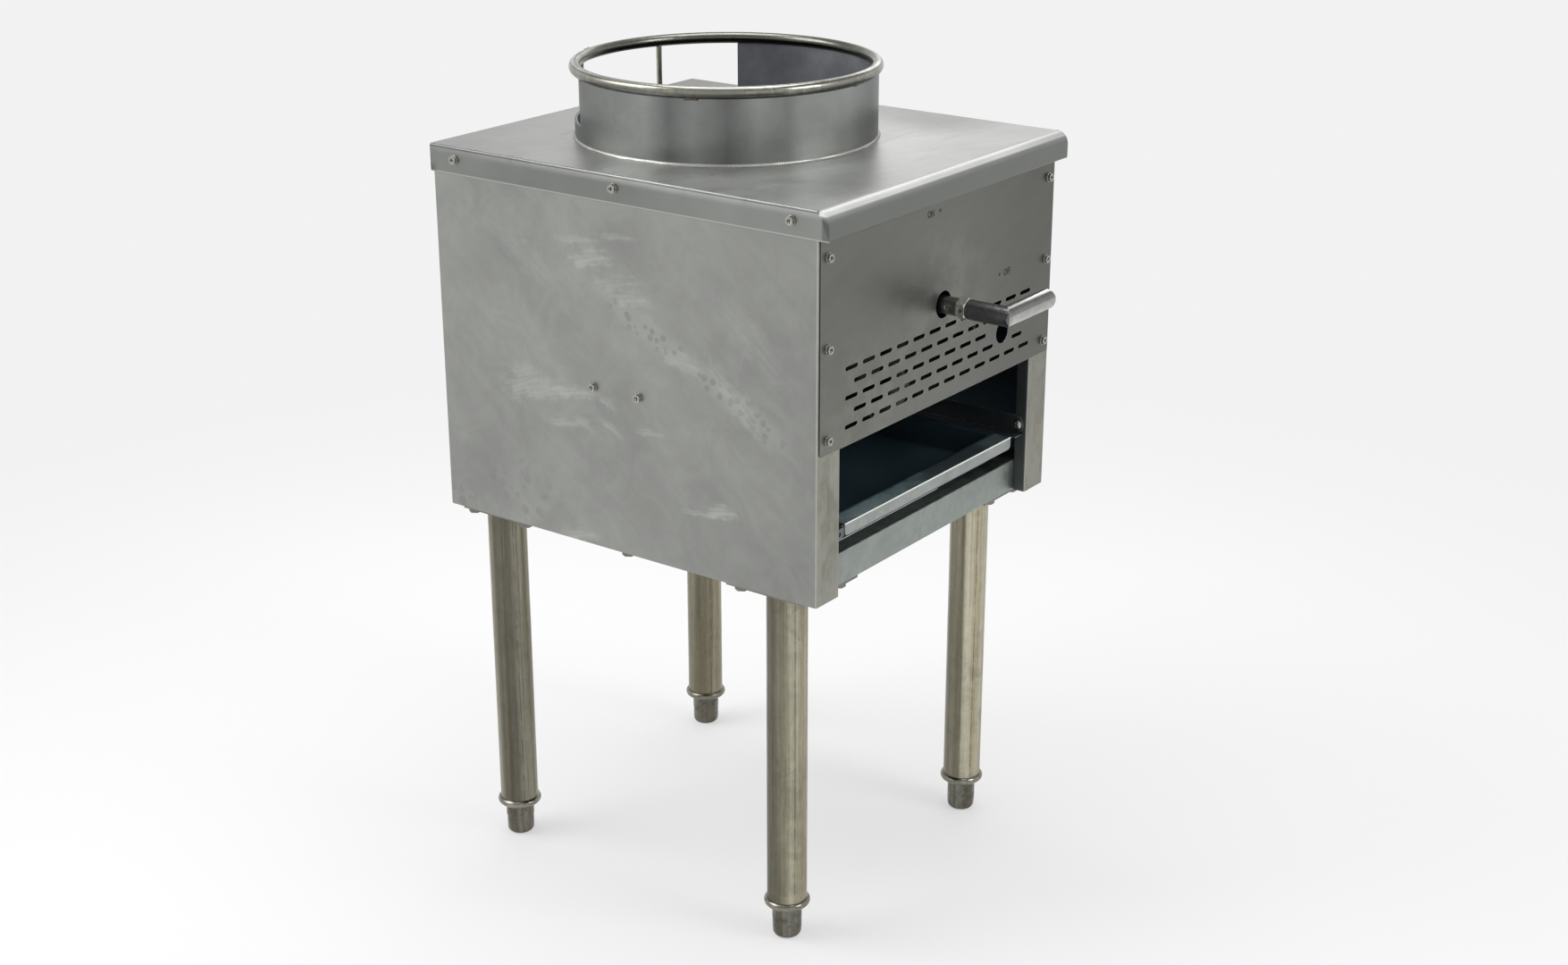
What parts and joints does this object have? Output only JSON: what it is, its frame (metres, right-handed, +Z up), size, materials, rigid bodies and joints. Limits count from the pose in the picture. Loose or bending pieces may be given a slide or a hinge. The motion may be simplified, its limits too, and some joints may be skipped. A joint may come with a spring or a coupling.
{
  "type": "wok range",
  "caption": "Stainless wok range: boxed cabinet on tubular legs, raised ring with a rear vent, slotted front, L handle, pull-out drip tray.",
  "frame": {"origin": "centre of the whole range's outline, on the floor", "axes": "+Z up, the front with the handle faces -Y, +X to the right of a cook who stands in front"},
  "size_m": [0.4682, 0.6388, 0.93],
  "materials": {
    "deck_steel": "dull brushed stainless deck with cloudy handling marks",
    "panel_steel": "brushed stainless sheet",
    "collar_steel": "rolled steel ring wall, mill finish",
    "rim_steel": "polished stainless bar",
    "galvanised": "galvanised sheet with a grey sheen",
    "leg_steel": "mill finish tube with die lines",
    "bead_steel": "polished stainless bead",
    "foot_steel": "plated steel foot",
    "grip_steel": "polished stainless bar",
    "arm_steel": "satin stainless tube",
    "burner_iron": "cast iron with a dark scale",
    "lining_iron": "cast iron, heat stained",
    "brass": "turned brass",
    "black_pipe": "black steel pipe",
    "malleable": "black malleable iron fitting",
    "shield_steel": "aluminised sheet",
    "tube_aluminium": "drawn aluminium tube",
    "fastener": "bright zinc-plated fastener",
    "dark_screw": "black oxide screw"
  },
  "bodies": {
    "cabinet": {"top_deck": "deck_steel", "wok_collar": "collar_steel", "rim_ring": "rim_steel", "rim_rods": "rim_steel", "left_side_panel": "panel_steel", "right_side_panel": "panel_steel", "back_panel": "panel_steel", "front_panel": "panel_steel", "heat_shield": "shield_steel", "front_base_channel": "galvanised", "rear_base_channel": "galvanised", "leg_plate_front_left": "galvanised", "leg_plate_front_right": "galvanised", "leg_plate_rear_left": "galvanised", "leg_plate_rear_right": "galvanised", "leg_front_left": "leg_steel", "leg_front_right": "leg_steel", "leg_rear_left": "leg_steel", "leg_rear_right": "leg_steel", "leg_collar_front_left": "bead_steel", "leg_collar_front_right": "bead_steel", "leg_collar_rear_left": "bead_steel", "leg_collar_rear_right": "bead_steel", "tray_rail_left": "panel_steel", "tray_rail_right": "panel_steel", "burner_support": "shield_steel", "burner_body": "burner_iron", "burner_jets": "brass", "burner_bolts": "fastener", "fire_chamber": "shield_steel", "chamber_lining": "lining_iron", "valve_body": "brass", "valve_bonnet": "brass", "valve_bracket": "shield_steel", "supply_pipe": "black_pipe", "close_nipple": "black_pipe", "cross_pipe": "black_pipe", "drop_pipe": "black_pipe", "feed_pipe": "black_pipe", "burner_riser": "black_pipe", "pipe_elbows": "malleable", "pilot_valve": "brass", "pilot_tube": "tube_aluminium", "pilot_burner": "fastener", "panel_screws": "fastener", "rail_screws": "fastener", "leg_plate_bolts": "fastener"},
    "valve_handle": {"valve_plug": "brass", "shaft_tube": "arm_steel", "shaft_pin": "dark_screw", "handle_nut": "arm_steel", "handle_set_screw": "dark_screw", "handle_arm": "arm_steel", "handle_grip": "grip_steel"},
    "tray": {"drip_tray": "galvanised"},
    "foot_front_left": {"foot_front_left": "foot_steel"},
    "foot_front_right": {"foot_front_right": "foot_steel"},
    "foot_rear_left": {"foot_rear_left": "foot_steel"},
    "foot_rear_right": {"foot_rear_right": "foot_steel"}
  },
  "joints": [
    {"name": "valve_turn", "type": "hinge", "parent": "cabinet", "child": "valve_handle", "pos_m": [0, -0.2306, 0.7], "axis": [0, -1, 0], "range_deg": [0, 90]},
    {"name": "tray_slide", "type": "slide", "parent": "cabinet", "child": "tray", "axis": [0, -1, 0], "range_m": [0, 0.38]},
    {"name": "level_front_left", "type": "slide", "parent": "cabinet", "child": "foot_front_left", "axis": [0, 0, -1], "range_m": [0, 0.018]},
    {"name": "level_front_right", "type": "slide", "parent": "cabinet", "child": "foot_front_right", "axis": [0, 0, -1], "range_m": [0, 0.018]},
    {"name": "level_rear_left", "type": "slide", "parent": "cabinet", "child": "foot_rear_left", "axis": [0, 0, -1], "range_m": [0, 0.018]},
    {"name": "level_rear_right", "type": "slide", "parent": "cabinet", "child": "foot_rear_right", "axis": [0, 0, -1], "range_m": [0, 0.018]}
  ]
}
